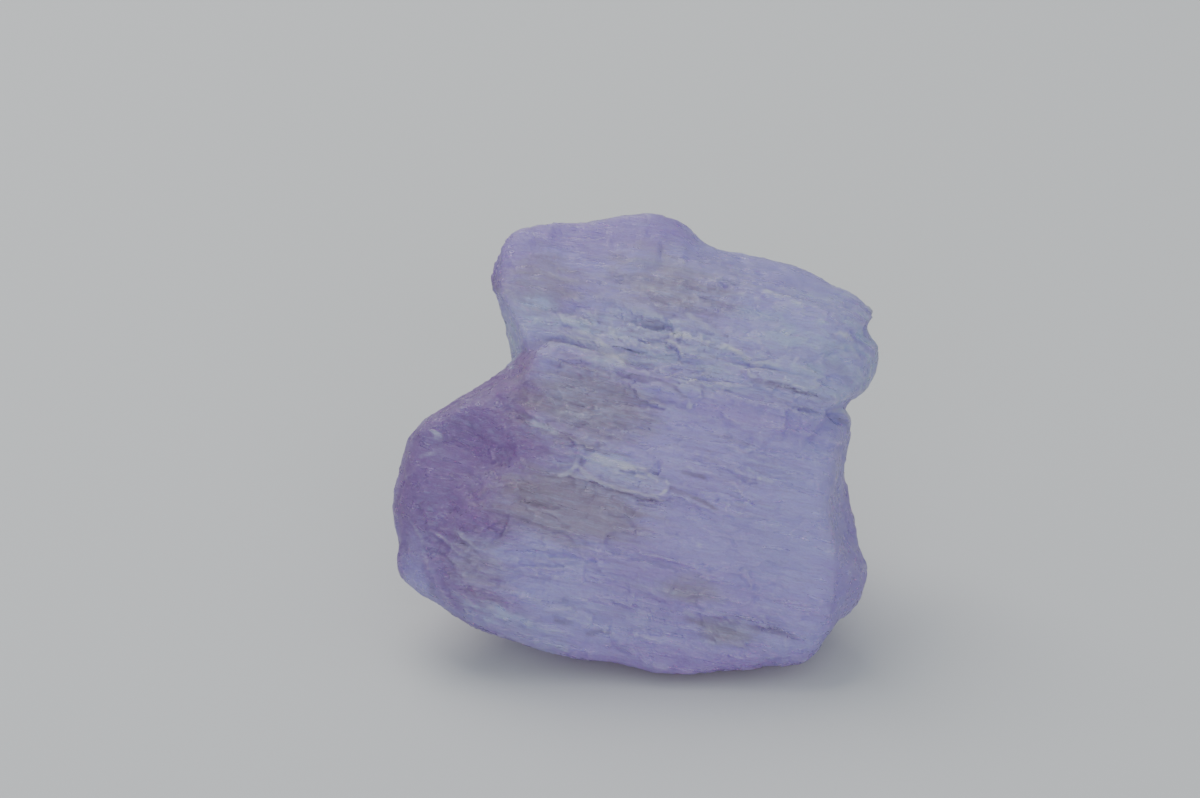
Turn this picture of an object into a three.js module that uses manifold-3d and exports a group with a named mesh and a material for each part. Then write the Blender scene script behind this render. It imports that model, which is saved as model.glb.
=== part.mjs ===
import * as THREE from "three";
import { mergeVertices } from "three/addons/utils/BufferGeometryUtils.js";
import Module from "manifold-3d";

// A rough kunzite crystal: one splintery fragment that stands on a small flat break.
//
// Lengths are millimetres and angles degrees. The stone is first worked out in a frame of its
// own, about a point in its heart: u runs to the right, v runs up the broad face, and w points
// out of the broad face. The outside is a distance from the heart in every direction.

const lean = 28; // how far the broad face leans back from upright
const heartHeight = 11.4; // from the ground to the heart
const fibreSlope = -13; // the fibres run down to the right in the broad face
const edgeCrispness = 32; // how sharply two breaks meet: more is crisper
const boxSize = [30, 28, 14]; // the stone's rough proportions: along the fibres, up, through
const boxFaces = [36, 34, 17]; // how many faces each of those lengths is divided into

// A break is a flat face: the direction it looks in, turned in the broad face from the right
// and tilted towards its front, then its distance from the heart.
const lowerSlab = {
  // Points round the slab's widest outline: u, v and how far it stands forward.
  rim: [
    [13.1, 0.6, 0.5],
    [12.9, 2.2, 1],
    [12, 3.4, 1],
    [9.5, 3.9, 0.5],
    [6, 4.4, 0],
    [3, 5, 0],
    [-0.5, 5.8, 0],
    [-3.5, 6.8, 0],
    [-5.8, 7.35, 0.5],
    [-7.2, 6.7, 0.5],
    [-8.1, 5.6, 0.5],
    [-8.9, 4.95, 0.5],
    [-10.8, 3.95, 0.5],
    [-12.7, 2.8, 0.3],
    [-14.35, 1.4, 0],
    [-15.1, -0.3, -0.3],
    [-15.3, -2.8, -0.5],
    [-15.15, -5.2, -0.5],
    [-15.2, -7.1, 0],
    [-14, -8.3, 0],
    [-12.3, -9.25, 0],
    [-9.4, -11.1, 1.5],
    [-5, -12.4, 2.2],
    [-1.25, -13.2, 2.6],
    [2.5, -13.5, 2.6],
    [6.9, -13.45, 2.4],
    [10.1, -12.95, 2],
    [12, -11, 1.5],
    [13.2, -10.1, 0],
    [14, -8.8, -0.5],
    [14.3, -7.2, -0.5],
    [13.6, -5.3, -0.3],
    [13.3, -3.4, 0],
    [13.1, -1.4, 0.3],
  ],
  taperFront: 0.028,
  taperBack: 0.06,
  breaks: [
    [259, 79, 5.7],
    [250, 57, 9.4],
    [282, 60, 10],
    [77, 76, 5.3],
    [60, 60, 6.9],
    [160, 66, 7.6],
    [190, 54, 10.5],
    [347, 64, 10.6],
    [85, -64, 9.2],
    [55, -52, 10.4],
    [140, -56, 9.4],
    [205, -46, 11.7],
    [330, -50, 11.7],
    [255, -76, 9.4],
    [300, -60, 10.9],
  ],
};

const upperSlab = {
  rim: [
    [13, 3, 0],
    [14, 3.9, 0],
    [14.45, 5.1, 0],
    [14.6, 6.5, 0],
    [14.2, 7.3, 0],
    [14.05, 7.9, 0],
    [14.35, 8.5, 0],
    [13.85, 9.4, -0.5],
    [12.7, 10.2, -1],
    [10, 11.4, -1.5],
    [7.5, 12.1, -2],
    [5.1, 12.8, -2],
    [4, 13.3, -2.2],
    [3.1, 14.2, -2.5],
    [2, 14.85, -2],
    [0.8, 15.15, -1],
    [-1.3, 15.2, -1],
    [-5, 15, -1],
    [-7, 14.75, -1],
    [-8.3, 13.8, -1.5],
    [-9.1, 12.4, -2],
    [-9.5, 11.2, -2.5],
    [-9, 9.7, -3],
    [-8.3, 7, -3.5],
    [-8.5, 3, -4],
    [-9, -2, -4],
    [-7, -7, -4],
    [0, -9, -4],
    [8, -8, -4],
    [11.5, -4, -3],
    [12.3, 0, -2],
  ],
  taperFront: 0.03,
  taperBack: 0.055,
  breaks: [
    [108, 73, 4.7],
    [100, 60, 6.7],
    [95, 40, 12.8],
    [178, 52, 8.7],
    [20, 70, 7.8],
    [250, 70, 3.6],
    [90, -62, 9.6],
    [60, -52, 10.9],
    [140, -54, 10.6],
    [262, -56, 9.8],
    [20, -35, 14.8],
  ],
};

// The heel is the lump behind that the stone leans on. It has breaks all round and no rim.
const heel = {
  rim: [],
  breaks: [
    [270, -62, 12],
    [222, -48, 11.4],
    [320, -48, 11.2],
    [95, -70, 8.9],
    [92, -20, 3.5],
    [265, -10, 12.4],
    [178, -4, 7.2],
    [3, -6, 8.4],
    [90, 60, 2.8],
    [270, 60, 5.4],
  ],
};

// Ledges run roughly along the fibres. Each fades away above its lip and drops off below it.
// [front or back, u and v of its start, u and v of its end, rise, how far it fades, jog phase]
const ledges = [
  [1, -5.9, 6, -1.4, 4.7, 0.45, 1.6, 0.3],
  [1, -1.6, 5.2, 3.2, 3.4, 0.42, 1.2, 2],
  [1, 6.4, 4.8, 12, 3.2, 0.42, 1.8, 2.4],
  [1, -7.2, 2.5, -2.6, 0.4, 0.36, 0.9, 4],
  [1, -0.4, 8.8, 3.6, 7.6, 0.36, 0.9, 5.2],
  [1, 1.6, 7.4, 6.6, 6.3, 0.3, 0.8, 0.6],
  [1, 6.2, -10.1, 10.2, -11.2, 0.3, 0.7, 0.2],
  [-1, -7, 4.3, 6, 2.1, 0.7, 2.4, 0.8],
  [-1, -5, 2.2, 11, -2.4, 0.55, 2, 2.8],
  [-1, -9, -2.8, 0, -5.2, 0.5, 1.8, 4.4],
  [-1, -2, 9.8, 8.6, 7.2, 0.45, 1.6, 1.9],
  [-1, -6, 7.6, 0, 6.4, 0.3, 1, 0.4],
  [-1, 2, -5.2, 8, -7, 0.35, 1.2, 3.4],
];
const ledgeDrop = 0.5; // from a ledge's lip down to its foot, along the surface
const ledgeEnd = 0.6; // a ledge fades out over this length past each end
const jogLength = 1.9;
const jogDepth = 0.2;

// Dents: [front or back, u, v, half length, half width, turn, depth, level part of the floor]
const dents = [
  [1, -11, -0.6, 3.8, 3, 60, 0.9, 0.1],
  [1, 11.9, 5.4, 1.9, 1, -25, 0.3, 0.1],
  [1, 7.4, -10.9, 3.4, 1, -12, 0.4, 0.3],
  [1, 1.3, 8.3, 1.8, 0.8, -16, 0.22, 0.2],
  [-1, -9, -2, 4, 3, 30, 0.8, 0.1],
  [-1, 8.5, 3, 3.6, 2.2, -20, 0.6, 0.1],
  [-1, 1, 6, 2, 1, -10, 0.4, 0.3],
  [-1, -3, -7, 1.6, 0.8, -20, 0.3, 0.3],
];

// Splintered plates lie flush along their upper edge and stand proud along their lower one.
// [front or back, u, v, half length, half width, turn, rise]
const plates = [
  [1, -1.4, -1.2, 2.9, 0.95, -20, 0.5],
  [1, -1.8, 7.1, 3, 0.8, -14, 0.35],
  [1, 10.6, 7.9, 2.4, 1.1, -20, 0.3],
  [-1, -2, 0.5, 4, 1.3, -10, 0.4],
  [-1, 6, 7.5, 3, 1, -14, 0.4],
];

// Shell-shaped breaks: [u, v, w of a ball's centre, its radius]
const shells = [
  [-18, 16.5, -14, 12],
  [19.5, -2, -16, 11.8],
  [2, -22, -14.5, 12.5],
];

// Broad swells of the surface: [height, turns across, turns through, turns along, phase]
const swells = [
  [0.16, 0.55, 0.9, 0.12, 1],
  [0.13, 0.2, -0.4, 0.31, 2.2],
  [0.09, 1.3, -0.8, 0.18, 0.4],
  [0.07, 0.3, 0.6, 0.8, 0],
];

const reliefFadeNear = 0.5; // front and back relief starts this far from the middle plane
const reliefFadeFar = 2.5; // and is whole from here on
const rimSamples = 12; // points between two rim points
const groundSize = 60; // the block that cuts the flat break

const radians = THREE.MathUtils.degToRad;
const smoothstep = THREE.MathUtils.smoothstep;
const alongFibres = new THREE.Vector2(1, 0).rotateAround(new THREE.Vector2(), radians(fibreSlope));

function facing(turn, tilt) {
  const flat = Math.cos(radians(tilt));
  return new THREE.Vector3(
    Math.cos(radians(turn)) * flat,
    Math.sin(radians(turn)) * flat,
    Math.sin(radians(tilt)),
  );
}

// A slab ready to measure: its breaks as vectors, and its rim as a smooth closed curve in
// polar form, sorted by angle and carried once round at both ends.
function prepare(slab) {
  const breaks = slab.breaks.map(([turn, tilt, away]) => facing(turn, tilt).divideScalar(away));
  if (!slab.rim.length) return { breaks };
  const corners = slab.rim.map((point) => new THREE.Vector3(...point));
  const curve = new THREE.CatmullRomCurve3(corners, true, "catmullrom", 0.5);
  const round = curve.getPoints(rimSamples * corners.length).slice(1);
  const polar = round.map((p) => ({
    angle: Math.atan2(p.y, p.x),
    reach: Math.hypot(p.x, p.y),
    forward: p.z,
  }));
  polar.sort((a, b) => a.angle - b.angle);
  const first = polar[0];
  const last = polar[polar.length - 1];
  polar.unshift({ ...last, angle: last.angle - 2 * Math.PI });
  polar.push({ ...first, angle: first.angle + 2 * Math.PI });
  return { ...slab, breaks, polar };
}

function rimAt(polar, angle) {
  const next = polar.findIndex((p) => p.angle >= angle);
  const a = polar[next - 1];
  const b = polar[next];
  const share = (angle - a.angle) / (b.angle - a.angle);
  return {
    reach: THREE.MathUtils.lerp(a.reach, b.reach, share),
    forward: THREE.MathUtils.lerp(a.forward, b.forward, share),
  };
}

// Distance from the heart to a slab's outside. Every face gives the share of its own distance
// that one millimetre along the ray covers. A high power mean of the shares follows the
// nearest face and rounds the edges a little.
function slabReach(slab, ray) {
  let sum = 0;
  for (const face of slab.breaks) sum += Math.max(ray.dot(face), 0) ** edgeCrispness;
  if (slab.polar) {
    const rim = rimAt(slab.polar, Math.atan2(ray.y, ray.x));
    const share = Math.hypot(ray.x, ray.y) / rim.reach;
    const { taperFront, taperBack } = slab;
    const front = Math.max(share + taperFront * ray.z, 0) / (1 + taperFront * rim.forward);
    const back = Math.max(share - taperBack * ray.z, 0) / (1 - taperBack * rim.forward);
    sum += (front ** edgeCrispness + back ** edgeCrispness) / 2;
  }
  return sum ** (-1 / edgeCrispness);
}

// A ledge's lip keeps to one level, then steps over to another.
function jog(along, phase) {
  const count = Math.floor(along / jogLength);
  const share = smoothstep(along / jogLength - count, 0.6, 1);
  const level = (k) => Math.sin(5.1 * k + phase);
  return jogDepth * THREE.MathUtils.lerp(level(count), level(count + 1), share);
}

// Relief belongs to the front or the back, and fades out towards the middle plane.
function onSide(point, side) {
  return smoothstep(point.z * side, reliefFadeNear, reliefFadeFar);
}

function ledgeHeight(point) {
  let height = 0;
  for (const [side, startU, startV, endU, endV, rise, fade, phase] of ledges) {
    const run = new THREE.Vector2(endU - startU, endV - startV);
    const length = run.length();
    run.divideScalar(length);
    const offset = new THREE.Vector2(point.x - startU, point.y - startV);
    const along = offset.dot(run);
    const over = run.cross(offset) - jog(along + phase, phase);
    const profile = over > 0 ? Math.exp(-over / fade) : 1 - smoothstep(-over, 0, ledgeDrop);
    const opening = smoothstep(along, -ledgeEnd, ledgeEnd);
    const closing = 1 - smoothstep(along, length - ledgeEnd, length + ledgeEnd);
    height += rise * profile * opening * closing * onSide(point, side);
  }
  return height;
}

// Place within an oval: 1 on its edge, along its length and across it.
function inOval(point, u, v, halfLength, halfWidth, turn) {
  const offset = new THREE.Vector2(point.x - u, point.y - v);
  offset.rotateAround(new THREE.Vector2(), radians(-turn));
  return offset.divide(new THREE.Vector2(halfLength, halfWidth));
}

function dentDepth(point) {
  let depth = 0;
  for (const [side, u, v, halfLength, halfWidth, turn, deep, level] of dents) {
    const { x, y } = inOval(point, u, v, halfLength, halfWidth, turn);
    const out = Math.hypot(x, y) * (1 + 0.16 * Math.sin(3 * Math.atan2(y, x) + u));
    depth += deep * (1 - smoothstep(out, level, 1.15)) * onSide(point, side);
  }
  return depth;
}

function plateHeight(point) {
  let height = 0;
  for (const [side, u, v, halfLength, halfWidth, turn, rise] of plates) {
    const { x, y } = inOval(point, u, v, halfLength, halfWidth, turn);
    const out = Math.hypot(x ** 2, (y + 0.15 * Math.sin(3.5 * x + u)) ** 2) ** 0.5;
    const wedge = THREE.MathUtils.clamp(0.55 - 0.45 * y, 0, 1);
    height += rise * wedge * (1 - smoothstep(out, 0.88, 1.04)) * onSide(point, side);
  }
  return height;
}

function swellHeight(point) {
  const along = point.x * alongFibres.x + point.y * alongFibres.y;
  const across = point.y * alongFibres.x - point.x * alongFibres.y;
  let height = 0;
  for (const [rise, turnsAcross, turnsThrough, turnsAlong, phase] of swells)
    height +=
      rise * Math.sin(turnsAcross * across + turnsThrough * point.z + turnsAlong * along + phase);
  return height;
}

const slabs = [lowerSlab, upperSlab, heel].map(prepare);

// Distance from the heart to the stone's outside along a ray.
function reach(ray) {
  let away = Math.max(...slabs.map((slab) => slabReach(slab, ray)));
  const point = ray.clone().multiplyScalar(away);
  away += swellHeight(point);
  point.copy(ray).multiplyScalar(away);
  away += ledgeHeight(point) + plateHeight(point) - dentDepth(point);
  for (const [u, v, w, radius] of shells) {
    const centre = new THREE.Vector3(u, v, w);
    const towards = ray.dot(centre);
    const clearance = radius ** 2 - (centre.lengthSq() - towards ** 2);
    if (clearance > 0 && towards > 0) away = Math.min(away, towards - Math.sqrt(clearance));
  }
  return away;
}

// The surface starts as a box whose faces line up with the fibres. Each corner is then moved
// out to the stone's outside.
const surface = new THREE.BoxGeometry(...boxSize, ...boxFaces);
const corners = surface.getAttribute("position");
const ray = new THREE.Vector3();
for (let i = 0; i < corners.count; i++) {
  ray.fromBufferAttribute(corners, i).normalize();
  ray.applyAxisAngle(new THREE.Vector3(0, 0, 1), radians(fibreSlope));
  const away = reach(ray);
  corners.setXYZ(i, ray.x * away, ray.y * away, ray.z * away);
}
surface.rotateX(radians(90 - lean));
surface.translate(0, 0, heartHeight);

const wasm = await Module();
wasm.setup();

function solid(shape) {
  shape.deleteAttribute("normal");
  shape.deleteAttribute("uv");
  const welded = mergeVertices(shape, 1e-4);
  const vertProperties = new Float32Array(welded.getAttribute("position").array);
  const triVerts = new Uint32Array(welded.index.array);
  return new wasm.Manifold(new wasm.Mesh({ numProp: 3, vertProperties, triVerts }));
}

// The flat break that the stone stands on.
const ground = new THREE.BoxGeometry(groundSize, groundSize, groundSize);
ground.translate(0, 0, -groundSize / 2);
const standing = solid(surface).subtract(solid(ground)).getMesh();

const geometry = new THREE.BufferGeometry();
geometry.setAttribute("position", new THREE.BufferAttribute(standing.vertProperties, 3));
geometry.setIndex(new THREE.BufferAttribute(standing.triVerts, 1));

const kunzite = new THREE.MeshStandardMaterial({ color: 0xb7a6d6, roughness: 0.35 });
const crystal = new THREE.Mesh(geometry, kunzite);
crystal.name = "crystal";

const part = new THREE.Group();
part.add(crystal);
export default part;
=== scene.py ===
import math

import bpy
import numpy as np
from mathutils import Matrix, Vector


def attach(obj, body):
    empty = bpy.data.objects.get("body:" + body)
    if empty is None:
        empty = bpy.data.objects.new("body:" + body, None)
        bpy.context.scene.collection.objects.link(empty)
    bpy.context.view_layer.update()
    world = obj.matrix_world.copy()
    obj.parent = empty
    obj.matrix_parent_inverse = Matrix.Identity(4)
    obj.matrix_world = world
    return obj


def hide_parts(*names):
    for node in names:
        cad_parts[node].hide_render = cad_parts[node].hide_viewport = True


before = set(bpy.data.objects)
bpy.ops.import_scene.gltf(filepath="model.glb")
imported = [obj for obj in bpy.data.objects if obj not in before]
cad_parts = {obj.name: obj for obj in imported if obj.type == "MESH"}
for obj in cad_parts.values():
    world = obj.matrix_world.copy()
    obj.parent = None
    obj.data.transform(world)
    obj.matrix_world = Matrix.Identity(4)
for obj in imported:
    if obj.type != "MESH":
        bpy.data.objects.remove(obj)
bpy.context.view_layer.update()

mm = 0.001

# The stone is worked out in its own frame about a point in its heart, in mm and degrees: u to
# the right, v up the broad face and w out of it. The broad face leans back, and the fibres run
# along it, turned a little down to the right.
stone = {
    "lean": 28.0,
    "heartHeight": 11.4,  # above the floor
    "fibreSlope": -13.0,
    "crispness": 32.0,  # how sharply two breaks meet
    "grid": (166, 156, 72),  # quads along, up and through
    "box": (15.0, 14.0, 7.0),  # half its rough size, the same ways
    "sideFade": (0.5, 2.5),  # from where to where, off the middle, a side's relief comes in
    "footFade": 0.6,  # the fine relief fades out this near the floor
    # A break is a flat face: the turn and tilt of its normal, then its distance from the heart.
    # A rim is the slab's widest outline: u, v and how far it stands forward.
    "lowerSlab": {
        "rim": [
            (13.1, 0.6, 0.5), (12.9, 2.2, 1), (12, 3.4, 1), (9.5, 3.9, 0.5), (6, 4.4, 0),
            (3, 5, 0), (-0.5, 5.8, 0), (-3.5, 6.8, 0), (-5.8, 7.35, 0.5), (-7.2, 6.7, 0.5),
            (-8.1, 5.6, 0.5), (-8.9, 4.95, 0.5), (-10.8, 3.95, 0.5), (-12.7, 2.8, 0.3),
            (-14.35, 1.4, 0), (-15.1, -0.3, -0.3), (-15.3, -2.8, -0.5), (-15.15, -5.2, -0.5),
            (-15.2, -7.1, 0), (-14, -8.3, 0), (-12.3, -9.25, 0), (-9.4, -11.1, 1.5),
            (-5, -12.4, 2.2), (-1.25, -13.2, 2.6), (2.5, -13.5, 2.6), (6.9, -13.45, 2.4),
            (10.1, -12.95, 2), (12, -11, 1.5), (13.2, -10.1, 0), (14, -8.8, -0.5),
            (14.3, -7.2, -0.5), (13.6, -5.3, -0.3), (13.3, -3.4, 0), (13.1, -1.4, 0.3),
        ],
        "taper": (0.028, 0.06),
        "breaks": [
            (259, 79, 5.7), (250, 57, 9.4), (282, 60, 10), (77, 76, 5.3), (60, 60, 6.9),
            (160, 66, 7.6), (190, 54, 10.5), (347, 64, 10.6), (85, -64, 9.2), (55, -52, 10.4),
            (140, -56, 9.4), (205, -46, 11.7), (330, -50, 11.7), (255, -76, 9.4),
            (300, -60, 10.9),
        ],
    },
    "upperSlab": {
        "rim": [
            (13, 3, 0), (14, 3.9, 0), (14.45, 5.1, 0), (14.6, 6.5, 0), (14.2, 7.3, 0),
            (14.05, 7.9, 0), (14.35, 8.5, 0), (13.85, 9.4, -0.5), (12.7, 10.2, -1),
            (10, 11.4, -1.5), (7.5, 12.1, -2), (5.1, 12.8, -2), (4, 13.3, -2.2),
            (3.1, 14.2, -2.5), (2, 14.85, -2), (0.8, 15.15, -1), (-1.3, 15.2, -1), (-5, 15, -1),
            (-7, 14.75, -1), (-8.3, 13.8, -1.5), (-9.1, 12.4, -2), (-9.5, 11.2, -2.5),
            (-9, 9.7, -3), (-8.3, 7, -3.5), (-8.5, 3, -4), (-9, -2, -4), (-7, -7, -4),
            (0, -9, -4), (8, -8, -4), (11.5, -4, -3), (12.3, 0, -2),
        ],
        "taper": (0.03, 0.055),
        "breaks": [
            (108, 73, 4.7), (100, 60, 6.7), (95, 40, 12.8), (178, 52, 8.7), (20, 70, 7.8),
            (250, 70, 3.6), (90, -62, 9.6), (60, -52, 10.9), (140, -54, 10.6), (262, -56, 9.8),
            (20, -35, 14.8),
        ],
    },
    "heel": {
        "breaks": [
            (270, -62, 12), (222, -48, 11.4), (320, -48, 11.2), (95, -70, 8.9), (92, -20, 3.5),
            (265, -10, 12.4), (178, -4, 7.2), (3, -6, 8.4), (90, 60, 2.8), (270, 60, 5.4),
        ],
    },
    # side, start u and v, end u and v, rise, how far it fades above, how fast it drops, phase
    "ledges": [
        (1, -5.9, 6, -1.4, 4.7, 0.45, 1.6, 0.22, 0.3),
        (1, -1.6, 5.2, 3.2, 3.4, 0.42, 1.2, 0.22, 2), (1, 3, 3.9, 6.6, 1.6, 0.26, 0.9, 0.2, 1),
        (1, 6.4, 4.8, 12, 3.2, 0.42, 1.8, 0.25, 2.4),
        (1, 7.8, 1.6, 12.6, 0.8, 0.24, 0.8, 0.2, 5.2),
        (1, -7.2, 2.5, -2.6, 0.4, 0.36, 0.9, 0.2, 4),
        (1, -0.4, 8.8, 3.6, 7.6, 0.2, 0.9, 0.5, 5.2),
        (1, 1.6, 7.4, 6.6, 6.3, 0.3, 0.8, 0.2, 0.6), (1, 1, -2.3, 8.2, -3.9, 0.2, 0.8, 0.2, 1.7),
        (1, 2.4, -0.7, 6.4, -1.8, 0.16, 0.5, 0.2, 3.1),
        (1, -2, 11.9, 2.6, 10.7, 0.24, 0.8, 0.25, 3.2),
        (1, 6.4, 10.6, 10, 9.6, 0.18, 0.6, 0.2, 0.9),
        (1, -4.6, -10.2, -1.4, -11, 0.22, 0.8, 0.25, 2.2),
        (1, -7, -2.8, -4.6, -4.1, 0.24, 0.5, 0.2, 5),
        (1, 6.2, -10.1, 10.2, -11.2, 0.3, 0.7, 0.2, 0.2),
        (1, 0.6, -6.2, 5, -7.4, 0.14, 0.6, 0.25, 4.4),
        (-1, -7, 4.3, 6, 2.1, 0.7, 2.4, 0.35, 0.8), (-1, -5, 2.2, 11, -2.4, 0.55, 2, 0.3, 2.8),
        (-1, -9, -2.8, 0, -5.2, 0.5, 1.8, 0.3, 4.4),
        (-1, -2, 9.8, 8.6, 7.2, 0.45, 1.6, 0.3, 1.9), (-1, -6, 7.6, 0, 6.4, 0.3, 1, 0.25, 0.4),
        (-1, 2, -5.2, 8, -7, 0.35, 1.2, 0.25, 3.4),
    ],
    "ledgeEnds": 0.6,
    "jog": {"length": 1.9, "depth": 0.2, "stepFrom": 0.6, "shuffle": 5.1},  # of a ledge's lip
    # side, u, v, half length, half width, turn, depth, how far out the floor stays level
    "dents": [
        (1, -11, -0.6, 3.8, 3, 60, 0.9, 0.1), (1, 11.9, 5.4, 1.9, 1, -25, 0.3, 0.1),
        (1, 7.4, -10.9, 3.4, 1, -12, 0.4, 0.3), (1, -6.98, 10.5, 0.8, 0.6, 20, 0.3, 0.3),
        (1, 1.3, 8.3, 1.8, 0.8, -16, 0.22, 0.2), (1, -9.2, -4.75, 1.4, 0.42, 40, 0.22, 0.6),
        (1, -12.8, 0.9, 0.5, 0.4, 30, 0.25, 0.3), (1, -5.2, 3.4, 0.5, 1.7, 25, 0.22, 0.2),
        (1, -5.3, -10.2, 0.7, 0.3, -10, 0.18, 0.3), (1, 12.2, 2.5, 0.7, 0.5, -40, 0.4, 0.3),
        (-1, -9, -2, 4, 3, 30, 0.8, 0.1), (-1, 8.5, 3, 3.6, 2.2, -20, 0.6, 0.1),
        (-1, 1, 6, 2, 1, -10, 0.4, 0.3), (-1, -3, -7, 1.6, 0.8, -20, 0.3, 0.3),
    ],
    "dentLobes": 0.16,
    "dentEdge": 1.15,  # how far out a dent ends, as a share of its half sizes
    # splintered plates that lie flush along their upper edge and stand proud below: side, u, v,
    # half length, half width, turn, rise
    "plates": [
        (1, -1.4, -1.2, 2.9, 0.95, -20, 0.36), (1, -1.8, 7.1, 3, 0.8, -14, 0.35),
        (1, 10.6, 7.9, 2.4, 1.1, -20, 0.3), (-1, -2, 0.5, 4, 1.3, -10, 0.4),
        (-1, 6, 7.5, 3, 1, -14, 0.4),
    ],
    # the wave along a plate's sides, its thickness in the middle and what it gains towards its
    # lower edge, the share of its size over which it ends, and how far its outline is torn
    "plateShape": {
        "wave": 0.15, "waveTurns": 3.5, "middle": 0.55, "gain": 0.45, "edge": (0.88, 1.04),
        "tornEnds": 0.3, "tornSides": 0.2, "tear": (0.5, 1.8, 0.5), "seed": 6,
    },
    # centre of the ball that a shell-shaped break follows, and its radius
    "shells": [
        ((-18, 16.5, -14), 12), ((19.5, -2, -16), 11.8), ((2, -22, -14.5), 12.5),
    ],
    # height, waves across, through and along the fibres, phase
    "swells": [
        (0.16, 0.55, 0.9, 0.12, 1), (0.13, 0.2, -0.4, 0.31, 2.2), (0.09, 1.3, -0.8, 0.18, 0.4),
        (0.07, 0.3, 0.6, 0.8, 0),
    ],
    # White lines and patches on the surface are bruises, painted glints and painted edge
    # highlights, and the dark lines are cracks and painted shadows under the ledges. Each has a
    # side, start u and v, end u and v, how far it bows, its half width and its strength.
    "whiteMarksAndHighlights": [
        (1, -4.2, 7.8, -0.9, 5.5, 0.3, 0.3, 0.9), (1, -1.4, 11.1, 1.1, 10.3, 0, 0.3, 0.6),
        (1, 1.9, 7.7, 3.2, 7.3, 0, 0.4, 0.9), (1, 2.8, 8.9, 4.2, 7.8, 0, 0.3, 0.6),
        (1, 4.9, 7, 6.9, 5.9, 0, 0.35, 0.7), (1, 7.6, 10.3, 8.7, 9.9, 0, 0.25, 0.6),
        (1, -6, 5.2, -4.5, 2.2, 0.3, 0.75, 0.3), (1, -4.7, 2.4, -2.6, 0.8, -0.3, 0.6, 0.25),
        (1, -6.9, 2.1, -4.9, 1.4, 0, 0.2, 0.7), (1, -3.4, 0, 0.8, -1.1, 0, 0.35, 0.75),
        (1, -5.2, -1.2, -3.9, -0.2, -0.4, 0.22, 0.8), (1, -4.2, -0.4, -1.4, -2, -0.2, 0.22, 0.8),
        (1, -1.4, -2, 1.1, -2.4, -0.1, 0.22, 0.7), (1, 1.5, -1.4, 1.1, -2.4, 0.3, 0.2, 0.9),
        (1, 7.2, -1.2, 8.3, -1.6, 0, 0.25, 0.6), (1, -2.6, 1.2, -2.5, 0.3, 0.2, 0.2, 0.5),
        (1, 11.8, 2.8, 13, 1.7, 0.5, 0.25, 0.9), (1, 12, 7.6, 13.3, 6.3, 0.4, 0.3, 0.6),
        (1, -13.1, 1.6, -12.7, 0.4, 0.4, 0.3, 0.8), (1, -13.9, -0.2, -12.7, 0.3, 0, 0.2, 0.5),
        # the short stroke from u 2.8 to 3.2 at v 3.1 is a painted glint
        (1, 2.8, 3.1, 3.2, 3.1, 0, 0.28, 1), (1, 4.1, -11.1, 5.8, -10.1, 0.2, 0.2, 0.5),
        (1, 5.8, -10.1, 10.2, -11.1, 0.2, 0.2, 0.4), (1, -3.1, -3.1, -2, -3.8, 0, 0.7, 0.28),
        (1, 3.5, -5.4, 3.8, -5.6, 0, 0.2, 0.6), (1, 2.6, -9.7, 3.4, -9.9, 0, 0.25, 0.5),
        (1, -14.7, -3.3, -13.2, -6.9, 0.2, 0.2, 0.3),
        (1, -14.5, -3.2, -10.8, -6.7, 0.2, 0.2, 0.3),
        (1, -14.4, -3.1, -8.2, -7.4, 0.4, 0.2, 0.25), (1, -5.8, 3.8, -5, 1.9, 0.2, 0.3, 0.4),
        (1, -1.9, 8.6, -1.4, 6.9, 0, 0.3, 0.5), (1, 0, 7.3, 1.8, 6.8, 0, 0.25, 0.6),
        (1, -4.9, 7.3, -0.6, 5.9, 0, 0.55, 0.7), (-1, -7, 5.2, -1, 3.6, 0.2, 0.4, 0.7),
        (-1, 2, 2.6, 6, 1.6, 0, 0.3, 0.6), (-1, -4, -2, 3, -3.9, 0.3, 0.3, 0.7),
        (-1, 5, 8.4, 9, 7, 0, 0.4, 0.6), (-1, -10, -3.4, -6, -4.6, 0.2, 0.3, 0.6),
        (-1, 1, -7.4, 6, -8.8, 0, 0.3, 0.5),
    ],
    "cracksAndLedgeShadows": [
        (1, -6.1, 5.8, -1.5, 4.4, 0.1, 0.22, 0.4), (1, -0.9, 5, 1.4, 4.5, 0, 0.25, 0.9),
        (1, 1.2, 4.5, 2.9, 3.4, 0.1, 0.25, 0.8), (1, 3.4, 4.6, 4.1, 3.5, 0, 0.2, 0.4),
        # the line from u 6.6, v 4.6 to u 11.9, v 3.2 is painted shadow under the ledge there
        (1, 6.6, 4.6, 11.9, 3.2, 0.2, 0.3, 0.7), (1, 0.5, 9.8, 1.8, 9.4, 0, 0.25, 0.7),
        (1, 0.8, 9, 2.4, 8.6, 0, 0.25, 0.5), (1, 1.1, 8.3, 2.8, 7.9, 0, 0.22, 0.4),
        (1, -4.9, 1.6, -2.5, 0.4, 0, 0.22, 0.8), (1, -2.5, -2.1, 1.2, -3, 0.1, 0.25, 0.6),
        (1, 1.4, -1.8, 4.9, -3.3, 0, 0.22, 0.8), (1, 2.4, -0.9, 4.1, -1.4, 0, 0.25, 0.7),
        (1, -10.1, -5.6, -8.1, -4.1, -0.5, 0.6, 0.5), (1, -14.9, -4.7, -14.7, -7.1, 0, 0.3, 0.6),
        (1, -13.2, -7.9, -12.5, -9.1, 0, 0.3, 0.6), (1, 6.6, -10.3, 9.9, -11.4, 0.1, 0.5, 0.6),
        (1, -5.4, -10.2, -4.1, -10.4, 0, 0.25, 0.7),
        (1, -3.5, -11.2, -1.7, -10.9, 0.2, 0.4, 0.6), (1, -7.9, -2.6, -5, -3.2, 0, 0.3, 0.7),
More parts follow.
